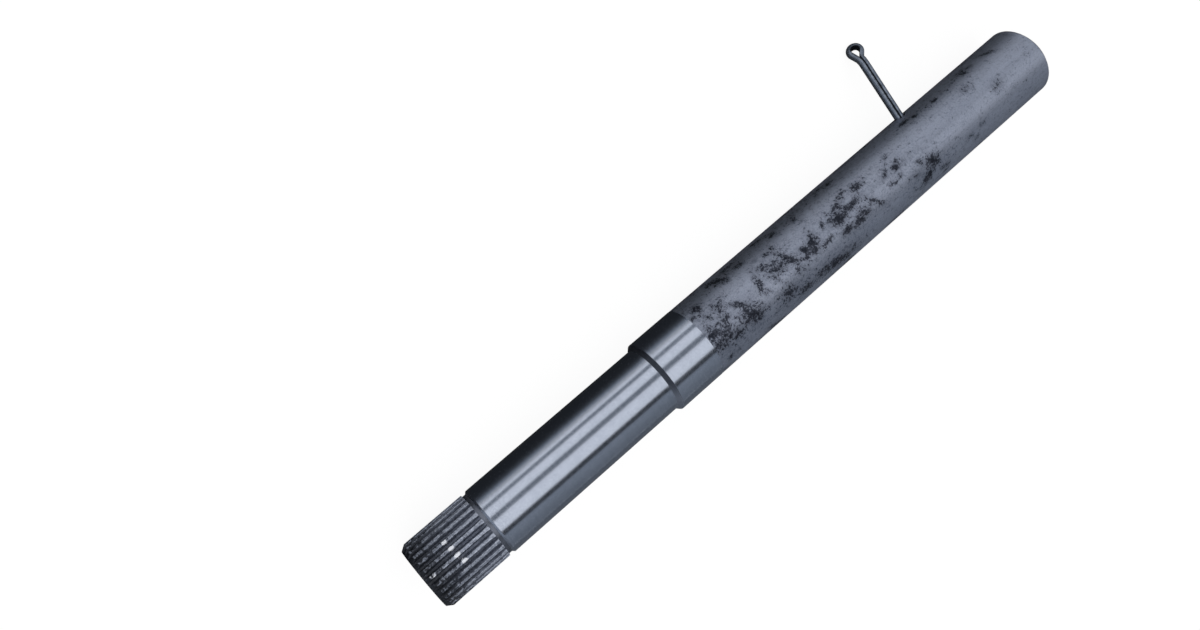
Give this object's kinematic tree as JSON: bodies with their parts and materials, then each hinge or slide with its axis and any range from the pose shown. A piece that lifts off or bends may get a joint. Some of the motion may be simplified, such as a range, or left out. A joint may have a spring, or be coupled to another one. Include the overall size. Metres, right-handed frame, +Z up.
{
  "type": "drive shaft",
  "caption": "Solid turned steel shaft with a splined end, a ground bearing journal, a chamfered shoulder with a ground band, and a split pin standing in a cross hole.",
  "frame": {"origin": "on the shaft's axis, where the bearing journal meets the shoulder chamfer", "axes": "+X along the shaft's axis, towards the splined end; +Z up as the shaft lies on its bar; the split pin's eye is on the -Y side and rests on the same floor"},
  "size_m": [0.352, 0.0703, 0.0336],
  "materials": {
    "shaft_steel": "ground bright on the journal and band, dark mill scale on the bar, dark oil on the spline",
    "pin_steel": "dull drawn half-round wire"
  },
  "bodies": {
    "root": {"drive_shaft": "shaft_steel", "split_pin": "pin_steel"}
  },
  "joints": []
}
